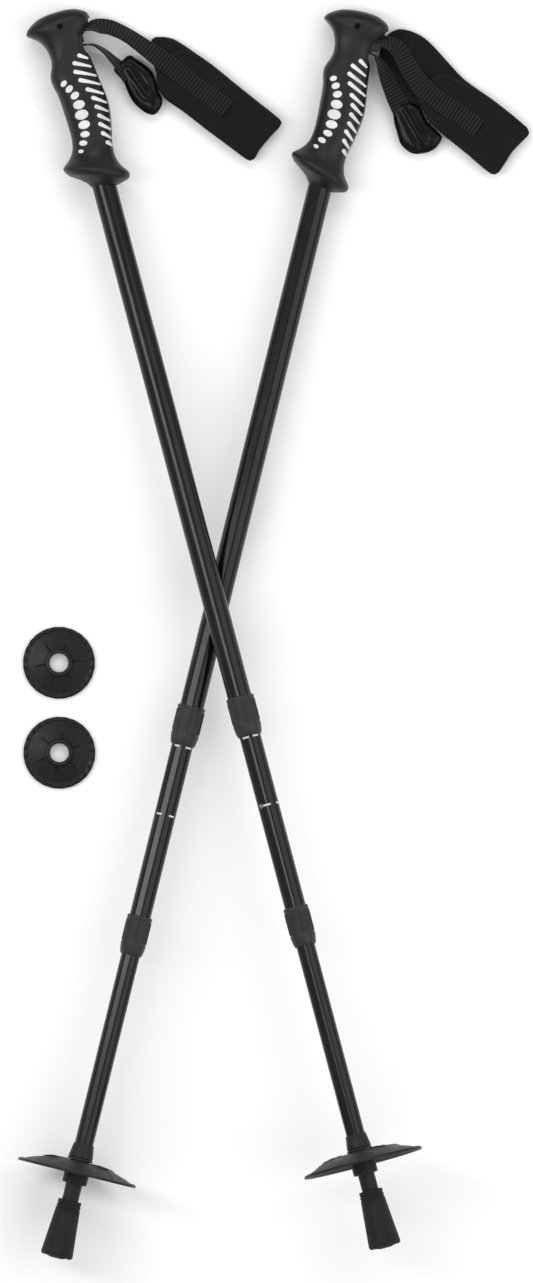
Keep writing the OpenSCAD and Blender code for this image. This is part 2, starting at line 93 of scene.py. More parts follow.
# ---------------- mesh helpers
def build(name, verts, faces, matrix, body, material, slot=None, nodes=(), smooth=35, uv=None):
    """One mesh piece from local mm coordinates, riding on a body."""
    co = np.asarray(verts, float)
    m = np.array(matrix)
    co = co @ m[:3, :3].T + m[:3, 3]
    me = bpy.data.meshes.new(name)
    me.from_pydata(co.tolist(), [], [tuple(int(i) for i in f) for f in faces])
    if uv is not None:
        layer = me.uv_layers.new(name="UVMap")
        idx = np.zeros(len(me.loops), int)
        me.loops.foreach_get("vertex_index", idx)
        layer.data.foreach_set("uv", np.asarray(uv, float)[idx].ravel())
    me.validate()
    bm = bmesh.new()
    bm.from_mesh(me)
    bmesh.ops.remove_doubles(bm, verts=bm.verts, dist=1e-7)
    bmesh.ops.recalc_face_normals(bm, faces=bm.faces)
    bm.to_mesh(me)
    bm.free()
    shade(me, smooth)
    ob = bpy.data.objects.new(name, me)
    bpy.context.scene.collection.objects.link(ob)
    me.materials.append(material)
    if body:
        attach(ob, body)
    if nodes:
        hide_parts(*nodes)
    return ob


def shade(me, angle):
    """Smooth shading with sharp edges above the angle in degrees; 180 leaves none."""
    for p in me.polygons:
        p.use_smooth = True
    if angle < 180:
        me.set_sharp_from_angle(angle=math.radians(angle))


def bake(ob, angle):
    """Applies the modifiers to the mesh and shades it."""
    dg = bpy.context.evaluated_depsgraph_get()
    me = bpy.data.meshes.new_from_object(ob.evaluated_get(dg))
    old = ob.data
    ob.modifiers.clear()
    ob.data = me
    bpy.data.meshes.remove(old)
    shade(me, angle)


def bevel(ob, width, segments, angle):
    """Rounds the edges that are sharper than the angle in degrees; width in mm."""
    m = ob.modifiers.new("Bevel", "BEVEL")
    m.width = width * MM
    m.segments = segments
    m.limit_method = "ANGLE"
    m.angle_limit = math.radians(angle)
    m.harden_normals = False
    bake(ob, 40)


def cut(ob, cutter):
    """Takes the cutter away from the piece and deletes it."""
    m = ob.modifiers.new("Cut", "BOOLEAN")
    m.operation = "DIFFERENCE"
    m.solver = "EXACT"
    m.object = cutter
    bpy.context.view_layer.update()
    bake(ob, 32)
    bpy.data.objects.remove(cutter)


def join_raw(parts):
    """Joins (verts, faces) pairs into one."""
    v, f = [], []
    for pv, pf in parts:
        base = len(v)
        v.extend(np.asarray(pv, float).tolist())
        f.extend(tuple(i + base for i in t) for t in pf)
    return v, f


def catmull(points, per, closed=False):
    """Catmull-Rom through the points, per samples to each span."""
    p = np.asarray(points, float)
    p = np.vstack([p[-1:], p, p[:2]] if closed else [p[:1], p, p[-1:]])
    out = []
    for a, b, c, d in zip(p, p[1:], p[2:], p[3:]):
        for k in range(per):
            t = k / per
            cubic = (3 * b - a - 3 * c + d) * t ** 3
            out.append(0.5 * (2 * b + (c - a) * t + (2 * a - 5 * b + 4 * c - d) * t * t + cubic))
    return np.array(out if closed else out + [p[-1]])


def respace(points, step, closed=False):
    """Points at equal distances along a polyline."""
    p = np.asarray(points, float)
    if closed:
        p = np.vstack([p, p[:1]])
    seg = np.linalg.norm(np.diff(p, axis=0), axis=1)
    s = np.concatenate([[0], np.cumsum(seg)])
    n = max(int(round(s[-1] / step)), 3)
    t = np.linspace(0, s[-1], n + 1)
    out = np.column_stack([np.interp(t, s, p[:, k]) for k in range(p.shape[1])])
    return out[:-1] if closed else out


def rounded(profile, radius, seg=3):
    """Closed profile with its corners rounded off."""
    p = [Vector(q) for q in profile]
    out = []
    for i in range(len(p)):
        a, b, c = p[i - 1], p[i], p[(i + 1) % len(p)]
        r = min(radius, (a - b).length * 0.45, (c - b).length * 0.45)
        s, e = b + (a - b).normalized() * r, b + (c - b).normalized() * r
        for k in range(seg + 1):
            t = k / seg
            out.append(tuple(s * (1 - t) ** 2 + b * 2 * t * (1 - t) + e * t * t))
    return out


def oval(half_w, half_h, n):
    """Points round an oval about the origin."""
    turns = [2 * math.pi * j / n for j in range(n)]
    return [(half_w * math.cos(t), half_h * math.sin(t)) for t in turns]


def half_round(x, z, r, n):
    """Half circle about (x, z), from its top round by -X to its bottom."""
    turns = np.linspace(math.pi / 2, 1.5 * math.pi, n)
    return [(x + r * math.cos(t), z + r * math.sin(t)) for t in turns]


def unit(rows):
    """Vectors scaled to length 1."""
    return rows / np.linalg.norm(rows, axis=1)[:, None]


def skin(n, rings, closed=False):
    """Faces over rings of n points: the last ring meets the first, or both ends are capped."""
    faces = []
    for i in range(rings if closed else rings - 1):
        k = (i + 1) % rings
        for j in range(n):
            q = (j + 1) % n
            faces.append((i * n + j, i * n + q, k * n + q, k * n + j))
    if not closed:
        last = (rings - 1) * n
        faces += [tuple(range(n)), tuple(last + j for j in reversed(range(n)))]
    return faces


def lathe(profile, n, change=None):
    """Turns a closed profile of (r, z) points about Z; change(theta, r, z) may move a point."""
    th = np.linspace(0, 2 * math.pi, n, endpoint=False)
    verts = []
    for r, z in profile:
        for t in th:
            rr, zz = change(t, r, z) if change else (r, z)
            verts.append((rr * math.cos(t), rr * math.sin(t), zz))
    return verts, skin(n, len(profile), True)


def sweep(path, across, up, section):
    """Section points (a, b) carried along the path: a along across, b along up."""
    verts = []
    for i in range(len(path)):
        for a, b in section(i) if callable(section) else section:
            verts.append(path[i] + across[i] * a + up[i] * b)
    return verts, skin(len(verts) // len(path), len(path))


def loop_sweep(path, up, section):
    """A section carried round a closed flat path; up is one fixed direction."""
    up = np.asarray(up, float)
    side = np.cross(unit(np.roll(path, -1, 0) - np.roll(path, 1, 0)), up)
    verts = [p + s * a + up * b for p, s in zip(path, side) for a, b in section]
    return verts, skin(len(section), len(path), True)


def tube_along(path, radius, sides):
    """A round thread along an open path, which never runs along the fixed direction."""
    path = np.asarray(path, float)
    tan = unit(np.gradient(path, axis=0))
    a = unit(np.cross(tan, np.array((0.13, 0.9, 0.21))))
    return sweep(path, a, np.cross(tan, a), oval(radius, radius, sides))


def seg_dist(p, a, b):
    """Distance from points p (n, 2) to the segment a-b."""
    a, b = np.asarray(a, float), np.asarray(b, float)
    ab = b - a
    t = np.clip(((p - a) @ ab) / (ab @ ab), 0, 1)
    return np.linalg.norm(p - a - t[:, None] * ab, axis=1)


def loop_dist(p, loop):
    """Distance from each point to a closed loop."""
    return np.min([seg_dist(p, a, b) for a, b in zip(loop, np.roll(loop, -1, 0))], axis=0)


def in_loop(p, loop):
    """Which points lie inside a closed loop."""
    x, y = p[:, 0], p[:, 1]
    inside = np.zeros(len(p), bool)
    for (ax, ay), (bx, by) in zip(loop, np.roll(loop, -1, 0)):
        inside ^= ((ay > y) != (by > y)) & (x < (bx - ax) * (y - ay) / (by - ay + 1e-15) + ax)
    return inside


def in_region(p, loops):
    """Which points lie inside the first loop and outside the others."""
    ok = in_loop(p, loops[0])
    for h in loops[1:]:
        ok &= ~in_loop(p, h)
    return ok


def plate(outer, holes, step):
    """Triangulated flat region: returns points, triangles and the loops as index lists."""
    loops = [np.asarray(outer)] + [np.asarray(h) for h in holes]
    pts, edges, idx = [], [], []
    for lp in loops:
        base = len(pts)
        pts.extend(lp.tolist())
        idx.append(list(range(base, base + len(lp))))
        edges.extend((base + i, base + (i + 1) % len(lp)) for i in range(len(lp)))
    lo, hi = loops[0].min(0), loops[0].max(0)
    gx = np.arange(lo[0], hi[0], step)
    gy = np.arange(lo[1], hi[1], step * 0.866)
    grid = np.array([(x + (step / 2 if j % 2 else 0), y) for j, y in enumerate(gy) for x in gx])
    grid = grid[in_region(grid, loops)]
    near = np.min([loop_dist(grid, lp) for lp in loops], axis=0)
    grid = grid[near > step * 0.45]
    pts.extend(grid.tolist())
    res = delaunay_2d_cdt([Vector(p) for p in pts], edges, [], 0, 1e-6)
    co = np.array([tuple(v) for v in res[0]])
    tris = [tuple(f) for f in res[2]]
    cen = np.array([co[list(t)].mean(0) for t in tris])
    tris = [t for t, k in zip(tris, in_region(cen, loops)) if k]
    where = {o: new for new, olds in enumerate(res[3]) for o in olds}
    idx = [[where[i] for i in lp] for lp in idx]
    return co, tris, idx


def slab_mesh(co, tris, loops, top, bottom):
    """A closed solid over a flat region, between two lists of heights, one for each point."""
    n = len(co)
    verts = np.vstack([np.column_stack([co, top]), np.column_stack([co, bottom])])
    faces = [tuple(f) for f in tris] + [tuple(i + n for i in reversed(f)) for f in tris]
    for lp in loops:
        for a, c in zip(lp, lp[1:] + lp[:1]):
            faces.append((a, c, c + n, a + n))
    return verts, faces


# ---------------- materials
class Mat:
    """Small helper for a Principled node material."""

    def __init__(self, name, color, rough, spec=0.5, metal=0.0):
        self.m = bpy.data.materials.new(name)
        self.m.use_nodes = True
        self.t = self.m.node_tree
        self.b = self.t.nodes["Principled BSDF"]
        self.b.inputs["Base Color"].default_value = (*color, 1)
        self.b.inputs["Roughness"].default_value = rough
        self.b.inputs["Metallic"].default_value = metal
        self.b.inputs["Specular IOR Level"].default_value = spec
        self.m.diffuse_color = (*color, 1)
        self.last = None

    def node(self, kind, **inputs):
        n = self.t.nodes.new(kind)
        for k, v in inputs.items():
            n.inputs[k.replace("_", " ")].default_value = v
        return n

    def link(self, a, b):
        self.t.links.new(a, b)

    def coords(self, stretch=(1, 1, 1), turn=0.0, uv=False):
        """Texture coordinates, drawn out by stretch along axes turned about Z."""
        c = self.t.nodes.new("ShaderNodeTexCoord")
        m = self.t.nodes.new("ShaderNodeMapping")
        m.vector_type = "TEXTURE"
        m.inputs["Rotation"].default_value = (0, 0, turn)
        m.inputs["Scale"].default_value = stretch
        self.link(c.outputs["UV" if uv else "Object"], m.inputs["Vector"])
        return m.outputs["Vector"]

    def noise(self, scale, detail, vec=None):
        n = self.node("ShaderNodeTexNoise", Scale=scale, Detail=detail, Roughness=0.55)
        self.link(vec if vec is not None else self.coords(), n.inputs["Vector"])
        return n.outputs["Fac"]

    def cells(self, scale):
        n = self.node("ShaderNodeTexVoronoi", Scale=scale)
        self.link(self.coords(), n.inputs["Vector"])
        return n.outputs["Distance"]

    def wave(self, direction, scale, distortion, vec, phase=0.0):
        n = self.node("ShaderNodeTexWave", Scale=scale, Distortion=distortion, Detail=2.0, Phase_Offset=phase)
        n.bands_direction = direction
        self.link(vec, n.inputs["Vector"])
        return n.outputs["Fac"]

    def ramp(self, fac, stops):
        r = self.t.nodes.new("ShaderNodeValToRGB")
        el = r.color_ramp.elements
        while len(el) < len(stops):
            el.new(0.5)
        for e, (pos, col) in zip(el, stops):
            e.position = pos
            e.color = (*col, 1)
        self.link(fac, r.inputs["Fac"])
        return r.outputs["Color"]

    def remap(self, fac, lo, hi, a=0.3, b=0.7):
        """Takes fac from the range a to b into the range lo to hi."""
        r = self.t.nodes.new("ShaderNodeMapRange")
        for k, v in (("From Min", a), ("From Max", b), ("To Min", lo), ("To Max", hi)):
            r.inputs[k].default_value = v
        self.link(fac, r.inputs["Value"])
        return r.outputs["Result"]

    def math(self, op, a, b):
        n = self.t.nodes.new("ShaderNodeMath")
        n.operation = op
        for i, v in enumerate((a, b)):
            if isinstance(v, (int, float)):
                n.inputs[i].default_value = v
            else:
                self.link(v, n.inputs[i])
        return n.outputs[0]

    def color(self, socket):
        self.link(socket, self.b.inputs["Base Color"])

    def rough(self, socket):
        self.link(socket, self.b.inputs["Roughness"])

    def bump(self, height, strength, depth):
        """Adds relief of a depth in mm to the bumps so far."""
        n = self.node("ShaderNodeBump", Strength=strength, Distance=depth * MM)
        self.link(height, n.inputs["Height"])
        if self.last is not None:
            self.link(self.last, n.inputs["Normal"])
        self.last = n.outputs["Normal"]
        self.link(self.last, self.b.inputs["Normal"])


def grey(v, tint=0.0):
    """Linear grey with a little blue by its tint."""
    return (v, v * (1 + tint * 0.3), v * (1 + tint))


def shades(v, tint, *stops):
    """Ramp stops from (position, share of v) pairs."""
    return [(pos, grey(v * k, tint)) for pos, k in stops]


def plastic(name, v, rough, grain=900.0, tint=0.04, spec=0.32, deep=0.05):
    """Moulded plastic: faint flow marks, spark-eroded grain, duller and lighter where handled."""
    m = Mat(name, grey(v, tint), rough, spec)
    big = m.noise(38, 4)
    m.color(m.ramp(big, shades(v, tint, (0.3, 0.86), (0.55, 1), (0.75, 1.2))))
    m.rough(m.remap(m.noise(160, 3), rough - 0.07, rough + 0.08))
    m.bump(m.noise(grain * 2.6, 2), 0.35, deep)
    m.bump(m.cells(grain), 0.25, deep)
    return m.m


def rubber(name, v, rough, grain=1500.0, tint=0.03, spec=0.4):
    """Soft rubber: fine pebbled grain, its colour darkened in the grain's hollows as painted shade."""
    m = Mat(name, grey(v, tint), rough, spec)
    fine = m.cells(grain)
    big = m.noise(55, 5)
    # colour: painted shade in the grain's hollows (the same cells as the bump), times random blotches
    mix = m.math("MULTIPLY", m.remap(fine, 0.86, 1.12, 0.1, 0.7), m.remap(big, 0.86, 1.16))
    m.color(m.ramp(m.math("MULTIPLY", mix, 0.5), shades(v, tint, (0.3, 0.6), (0.5, 1), (0.72, 1.5))))
    m.rough(m.remap(big, rough - 0.08, rough + 0.1))
    m.bump(fine, 0.5, 0.09)
    m.bump(m.noise(420, 3), 0.25, 0.1)
    return m.m


def tube_paint(name, v, turn):
    """Gloss black anodised tube: faint draw lines along the tube, fine dust and rub marks."""
    m = Mat(name, grey(v, 0.08), 0.18, 0.26)
    lines = m.noise(1300, 2, m.coords((1, 60, 1), turn))
    tones = [(0.35, grey(v * 0.8, 0.05)), *shades(v, 0.08, (0.6, 1.1), (0.8, 1.7))]
    m.color(m.ramp(m.noise(24, 5), tones))
    m.rough(m.remap(m.noise(300, 4, m.coords((1, 12, 1), turn)), 0.13, 0.2))
    m.bump(lines, 0.12, 0.03)
    m.bump(m.noise(60, 2), 0.06, 0.2)
    return m.m


def metal(name, v, rough, tint=0.02):
    """Ground metal with fine wear."""
    m = Mat(name, grey(v, tint), rough, 0.5, 1.0)
    m.color(m.ramp(m.noise(400, 4), shades(v, tint, (0.3, 0.75), (0.7, 1.05))))
    m.rough(m.remap(m.noise(900, 3), rough - 0.08, rough + 0.15))
    m.bump(m.noise(2500, 2), 0.2, 0.03)
    return m.m


def webbing_mat(name, v):
    """Ribbed webbing: lengthwise yarns crossed by ribs; its UV map is in mm."""
    m = Mat(name, grey(v, 0.06), 0.8, 0.16)
    uv = m.coords(uv=True)
    # this scale gives one band for each rib
    ribs = m.wave("Y", 0.1208, 0.15, uv, math.pi)
    yarn = m.wave("X", 0.5, 0.4, uv)
    # colour follows the ribs: painted shade between them and painted highlight on their crests, with random
    # tone from the noise
    m.color(m.ramp(m.math("MULTIPLY", m.math("ADD", ribs, m.noise(1.4, 4, uv)), 0.5),
                   [(0.2, grey(v * 0.3, 0.05)), *shades(v, 0.06, (0.5, 1), (0.75, 3.2))]))
    m.bump(ribs, 0.55, 0.35)
    m.bump(yarn, 0.4, 0.12)
    m.bump(m.noise(6, 3, uv), 0.35, 0.1)
    m.b.inputs["Sheen Weight"].default_value = 0.1
    m.b.inputs["Sheen Roughness"].default_value = 0.4
    return m.m


def cloth_mat(name, v, knit=1500.0, sheen=0.25, tint=0.02):
    """Brushed jersey face of the padding: tiny loops with painted shade in their hollows, lint and rubbed
    areas.
    """
    m = Mat(name, grey(v, tint), 0.86, 0.12)
    loops = m.cells(knit)
    lint = m.noise(700, 5)
    rub = m.noise(46, 4)
    # colour: painted shade in the hollows of the loops (the same cells as the bump), times random lint and
    # rub tones
    f = m.math("MULTIPLY", m.remap(loops, 0.75, 1.2, 0.1, 0.7), m.remap(rub, 0.8, 1.2))
    m.color(m.ramp(m.math("MULTIPLY", m.math("MULTIPLY", f, m.remap(lint, 0.85, 1.15)), 0.5),
                   shades(v, tint, (0.25, 0.5), (0.5, 1), (0.75, 1.7))))
    m.rough(m.remap(rub, 0.78, 0.92))
    m.bump(loops, 0.6, 0.12)
    m.bump(m.noise(260, 4), 0.35, 0.22)
    m.b.inputs["Sheen Weight"].default_value = sheen
    m.b.inputs["Sheen Roughness"].default_value = 0.45
    return m.m


def gloss_mat(name, v):
    """Glossy moulded black: slight waviness and hairline scuffs."""
    m = Mat(name, grey(v, 0.05), 0.2, 0.14)
    m.color(m.ramp(m.noise(80, 4), shades(v, 0.05, (0.3, 0.8), (0.7, 1.3))))
    m.rough(m.remap(m.noise(500, 5, m.coords((1, 8, 1), 0.7)), 0.16, 0.26))
    m.bump(m.noise(120, 2), 0.12, 0.15)
    m.bump(m.noise(1800, 2), 0.08, 0.04)
    return m.m


M_GRIP = rubber("Grip_Rubber", 0.006, 0.36, 1500, 0.05, 0.26)
M_INLAY = rubber("Inlay_Rubber", 0.62, 0.62, 1300, 0.02, 0.35)
# the screw head's near-black colour is painted shade of its countersink; the steel itself is lighter
M_SCREW_SHADED = metal("Screw_Steel_Painted_Shade", 0.01, 0.3)
M_CARBIDE = metal("Hard_Metal", 0.38, 0.4)
M_GREY = plastic("Grey_Plastic", 0.05, 0.45)
M_WEDGE = plastic("Wedge_Plastic", 0.012, 0.4, spec=0.2)
M_COLLAR = plastic("Collar_Plastic", 0.019, 0.4, 1100, spec=0.3)
M_FERRULE = plastic("Ferrule_Plastic", 0.011, 0.44, 1100, spec=0.22)
M_BASKET = plastic("Basket_Plastic", 0.012, 0.46, 800, spec=0.2, deep=0.07)
M_SPARE = plastic("Spare_Plastic", 0.006, 0.32, 800, spec=0.2, deep=0.05)
M_FOOT = rubber("Foot_Rubber", 0.008, 0.6, 1100, 0.04, 0.22)
M_WEB = webbing_mat("Webbing", 0.0065)
M_PAD = cloth_mat("Pad_Fabric", 0.0068, sheen=0.05)
M_BIND = cloth_mat("Binding_Fabric", 0.007, 2200, 0.08)
M_THREAD = cloth_mat("Thread", 0.014, 3000, 0.1)
M_TAB = gloss_mat("Tab_Gloss", 0.0022)
M_INK = plastic("Scale_Print", 0.62, 0.5, 1500, 0.0)
M_TUBE = {}
for s in SIDES:
    d = POLE[s].to_3x3() @ Vector((0, 0, 1))
    M_TUBE[s] = tube_paint("Tube_Black_" + s, 0.004, math.atan2(-d.x, d.y))

# ---------------- grip
# grip outline, rising: left x and z, right x and z, half depth
RINGS = [
    (-9.4, 331, 9.4, 327.5, 9.4), (-9.8, 328.5, 9.8, 325, 9.8), (-12, 332, 14, 326, 12.5),
    (-17.5, 336.6, 18.5, 327.2, 16.5), (-23.5, 340.8, 20.2, 328.8, 19), (-26.5, 345.8, 20.7, 331.5, 20),
    (-24.6, 348.6, 19, 334.5, 18.8), (-21, 351.5, 16.4, 338, 16.6), (-17.8, 355.5, 14.3, 343, 15),
    (-15.6, 360.5, 13.5, 349, 14.1), (-14.7, 366, 14.2, 357, 13.9), (-14.5, 372, 16.3, 366, 14.2),
    (-14.8, 380, 18.2, 377, 14.8), (-15.2, 388, 19, 387, 15.2), (-15.7, 396, 18.3, 396, 15.2),
    (-16.4, 402, 17.2, 403, 15), (-17.8, 408, 16.4, 409.5, 14.6), (-18.4, 413.5, 15.7, 416, 14.2),
    (-17.2, 418, 14.9, 421.5, 13.8), (-15.4, 422.5, 14, 427, 13.4), (-14.5, 427.5, 13.2, 432, 13.2),
    (-15, 433.5, 13.2, 437, 13.4), (-16.8, 439, 14.6, 441, 14), (-19.5, 443.5, 17.6, 444, 14.8),
    (-23.5, 447, 20.3, 447.5, 15.6), (-27, 449.6, 21.4, 450.5, 16), (-27.2, 451.2, 21.5, 453, 16),
    (-25, 454.3, 20, 456.4, 15), (-18, 458.7, 14, 459.9, 12), (-10, 460.8, 8, 461.2, 8),
    (-4, 461.4, 3, 461.6, 4), (-1, 461.6, 0.4, 461.7, 1)]
# oval inlays: x, z, width, height and lean in degrees
DOTS = [
    (-9.7, 407.1, 5.5, 4, 32), (-6.7, 402.1, 6.5, 4.8, 32), (-3.9, 396.2, 7, 5.3, 24),
    (-2.7, 388.8, 9, 6.8, 0), (-2.7, 381.1, 10.4, 7.6, 0), (-2.8, 373.4, 9, 6.3, 0),
    (-4, 366.4, 7.2, 4.8, -8), (-7, 360.4, 6.3, 4.2, -14), (-10.2, 354.9, 4.2, 3, -14)]
# bar inlays: x and z of both ends
BARS = [
    (5.5, 425.5, 12.8, 421), (0.5, 420.5, 13.5, 414.5), (-0.5, 414, 15.5, 407), (1.5, 407, 16.8, 400),
    (5, 399, 17.3, 392.5), (7.5, 392, 17.8, 385.5), (8.2, 385, 17.3, 379), (8.5, 378.3, 16.6, 372),
    (7.7, 372, 15.6, 365.5), (8, 365, 14.2, 359.3), (9.8, 357.8, 13.4, 353.6)]


def grip_shell(n=96, per=7):
    """Skin of the grip over the leaning rings, squarer towards the head."""
    rings = catmull(RINGS[:2], 2).tolist() + catmull(RINGS[1:], per).tolist()[1:]
    verts = []
    for xl, zl, xr, zr, hy in rings:
        cx, cz, dx, dz = (xl + xr) / 2, (zl + zr) / 2, (xr - xl) / 2, (zr - zl) / 2
        p = 1 - 0.3 * min(1, max(0, (cz - 345) / 85))
        for a, b in oval(1, 1, n):
            c = math.copysign(abs(a) ** p, a)
            q = math.copysign(abs(b) ** p, b)
            verts.append((cx + dx * c, hy * q, cz + dz * c))
    return verts, skin(n, len(rings))


def prism(outline, y0, y1):
    """Cutter with an (x, z) outline, from y0 to y1."""
    verts = [(x, y, z) for y in (y0, y1) for x, z in outline]
    return verts, skin(len(outline), 2)


def slot_cutter(half_width=8.7):
    """Slot through the head for the strap and its wedge, open to the strap side."""
    mouth = [(10.4, 429.8), (14.5, 423.4), (34, 416), (34, 453.7), (18, 451.5), (12, 448.5)]
    return prism(half_round(7, 438, 6.9, 17) + mouth, -half_width, half_width)


def bore_cutter(z0=300, z1=428.5, n=96):
    """Bore of the grip, a little wider than the upper tube."""
    r = R_UPPER + 0.06
    return [(x, y, z) for z in (z0, z1) for x, y in oval(r, r, n)], skin(n, 2)


def screw_cutter(y0, y1):
    """Countersink of the cross screw."""
    x, z, r = -1.5, 449, 2.35
    return prism([(x + a, z + b) for a, b in oval(r, r, 40)], y0, y1)


# share of the way from an inlay's spine to its outline, and height over the grip's skin in mm
INLAY_STEPS = [(0.0, 0.42), (0.45, 0.42), (0.72, 0.4), (0.86, 0.32), (0.95, 0.16), (1.0, -0.1), (1.0, -0.7)]


def inlay(bvh, ring, base, sign):
    """Raised soft inlay that follows the grip's skin; ring and base are (x, z) pairs."""
    verts = []
    for f, h in INLAY_STEPS:
        for p, q in zip(ring, base):
            x, z = q[0] + (p[0] - q[0]) * f, q[1] + (p[1] - q[1]) * f
            hit, out = bvh.ray_cast(Vector((x, sign * 60, z)), Vector((0, -sign, 0)))[:2]
            if hit is None:
                hit, out = Vector((x, sign * 3, z)), Vector((1, 0, 0))
            if out.y * sign <= 0:
                out = -out
            verts.append(tuple(hit + out * h))
    return verts, skin(len(ring), len(INLAY_STEPS))


def dot_ring(dot, n=28):
    """Leaning oval, with its middle as base."""
    x, z, w, h, lean = dot
    c, s = math.cos(math.radians(lean)), math.sin(math.radians(lean))
    ring = [(x + p * c - q * s, z + p * s + q * c) for p, q in oval(w / 2, h / 2, n)]
    return ring, [(x, z)] * n


def bar_ring(bar, n=10, r1=1.65, r2=0.85):
    """Round-ended bar that narrows towards the flank, with its spine as base."""
    a, c = Vector(bar[:2]), Vector(bar[2:])
    d = (c - a).normalized()
    s = Vector((-d.y, d.x))
    a2, c2 = a + d * r1, c - d * r2
    if (c2 - a2).dot(d) < 0.2:
        c2 = a2 + d * 0.2
    ring, base = [], []

    def flank(sign, shares):
        for k in shares:
            m = a2.lerp(c2, k)
            ring.append(tuple(m + s * sign * (r1 + (r2 - r1) * k)))
            base.append(tuple(m))

    def end(p, r, t0):
        for i in range(n + 1):
            t = t0 + math.pi * i / n
            ring.append(tuple(p + d * (r * math.cos(t)) + s * (r * math.sin(t))))
            base.append(tuple(p))

    end(c2, r2, -math.pi / 2)
    flank(1, (0.75, 0.5, 0.25))
    end(a2, r1, math.pi / 2)
    flank(-1, (0.25, 0.5, 0.75))
    return ring, base


def make_grip(side):
    """Rubber grip with its bore, slot and countersinks, and the raised inlays on both faces."""
    m, body = along(side, GRIP_DZ[side]), side + "_upper"
    shell = grip_shell()
    bvh = BVHTree.FromPolygons([Vector(v) for v in shell[0]], shell[1])
    ob = build(side + "_grip_body", *shell, m, body, M_GRIP, "grip_rubber", [side + "_grip"], 180)
    for raw in (bore_cutter(), slot_cutter(), screw_cutter(-25, -13.1), screw_cutter(13.1, 25)):
        cut(ob, build("cutter", *raw, m, None, M_GRIP, smooth=180))
    for kind, shapes in (("dots", [dot_ring(d) for d in DOTS]), ("bars", [bar_ring(b) for b in BARS])):
        parts = [inlay(bvh, *shape, sign) for sign in (-1, 1) for shape in shapes]
        node = side + "_grip_" + kind
        build(side + "_inlay_" + kind, *join_raw(parts), m, body, M_INLAY, "inlay", [node], 60)


for s in SIDES:
    make_grip(s)


# ---------------- collars, ferrules and print
def make_collar(side, which, z0, r, d, body):
    """Ribbed collar on the end of a tube of radius r, closing in on the next one of radius d."""
    prof = rounded([
        (r + 0.05, 0), (r + 1.15, 0), (r + 1.5, -1.2), (r + 1.5, -2.2), (r + 1.15, -2.6), (r + 1.15, -20.8),
        (r + 1.5, -21.2), (r + 1.45, -22.6), (r + 0.75, -27.3), (d + 0.85, -30), (d + 0.15, -30),
        (d + 0.15, -25.1), (r + 0.05, -25.1)], 0.5)
    dense = []
    for p, q in zip(prof, prof[1:] + prof[:1]):
        k = max(1, int(math.dist(p, q) / 1.2))
        dense += [(p[0] + (q[0] - p[0]) * t / k, p[1] + (q[1] - p[1]) * t / k) for t in range(k)]

    def ribs(t, rr, z, top=-2.8, low=-20.6):
        if rr > r + 1.0 and low < z < top:
            edge = min(1.0, z - low, top - z)
            rr += 0.5 * edge * max(0.0, math.cos(36 * t)) ** 0.7 - 0.05
        return rr, z

    node = side + "_" + which + "_collar"
    raw = lathe(dense, 288, ribs)
    build(node + "_body", *raw, along(side, z0), body, M_COLLAR, "collar_plastic", [node], 40)


def make_ferrule(side):
    """Ferrule at the end of the lower tube: a seat for the basket and a core for the foot."""
    prof = rounded([
        (7.02, 0), (7.5, 0), (7.75, -0.6), (9.25, -10), (8.85, -10.35), (8.85, -10.8), (9.4, -11.1),
        (9.7, -12.5), (6.85, -12.7), (6.85, -30.3), (6.2, -31.2), (6.2, -61), (5.6, -62), (2.55, -62),
        (2.55, -52), (6.0, -40), (6.4, -14), (7.02, -11)], 0.3)
    m, node = along(side, LOWER_OUT[side]), side + "_ferrule"
    build(node + "_body", *lathe(prof, 128), m, side + "_lower", M_FERRULE, "collar_plastic", [node])


def print_arc(r, z, u0, u1, h, n=16):
    """Printed dash on a tube, from side position u0 to u1 as seen from above."""
    a0, a1 = math.asin(u0 / r), math.asin(u1 / r)
    section = [(-0.5, -0.03), (-0.5, 0.045), (0.5, 0.045), (0.5, -0.03)]
    verts = []
    for i in range(n + 1):
        a = a0 + (a1 - a0) * i / n
        verts += [((r + dr) * math.sin(a), -(r + dr) * math.cos(a), z + k * h) for k, dr in section]
    return verts, skin(4, n + 1)


# printed dashes: distance along the pole and the two side positions
MARKS = {
    "left": [(-99.6, -5.7, -1.1), (-99.6, 2.0, 6.0), (-152.0, -3.7, 2.0), (-152.0, 6.0, 7.8)],
    "right": [(-106.6, -5.5, -2.0), (-106.6, 2.9, 7.0), (-159.0, -6.3, -2.6), (-159.0, 2.9, 6.6)]}
# strokes of a small numeral five: side position and height from its middle
FIVE = [
    (-4.2, 1.1), (-6.2, 1.1), (-6.3, 0.1), (-5.0, 0.3), (-4.3, -0.3), (-4.6, -1.0), (-5.6, -1.2),
    (-6.3, -0.9)]


def make_print(side):
    """Length marks on the middle tube, with a numeral on the left one."""
    r = R_MIDDLE
    parts = [print_arc(r, z, u0, u1, 1.3) for z, u0, u1 in MARKS[side]]
    if side == "left":
        pts = respace(np.array(FIVE), 0.25)
        path = [((r - 0.03) * u / r, 0.03 - math.sqrt(max(r * r - u * u, 0)), -152.0 + z) for u, z in pts]
        parts.append(tube_along(path, 0.19, 8))
    build(side + "_length_marks", *join_raw(parts), POLE[side], side + "_middle", M_INK, "tube", [], 40)


for s in SIDES:
    make_collar(s, "upper", UPPER_OUT[s], R_UPPER, R_MIDDLE, s + "_upper")
    make_collar(s, "lower", MIDDLE_OUT[s], R_MIDDLE, R_LOWER, s + "_middle")
    make_ferrule(s)
    make_print(s)


# ---------------- baskets and feet
# in mm: the disc, its seat on the ferrule, and where its four holes are and how wide
BASKET_R, SEAT_R, HOLE_OUT, HOLE_R = 45, 7.05, 25, 6.2


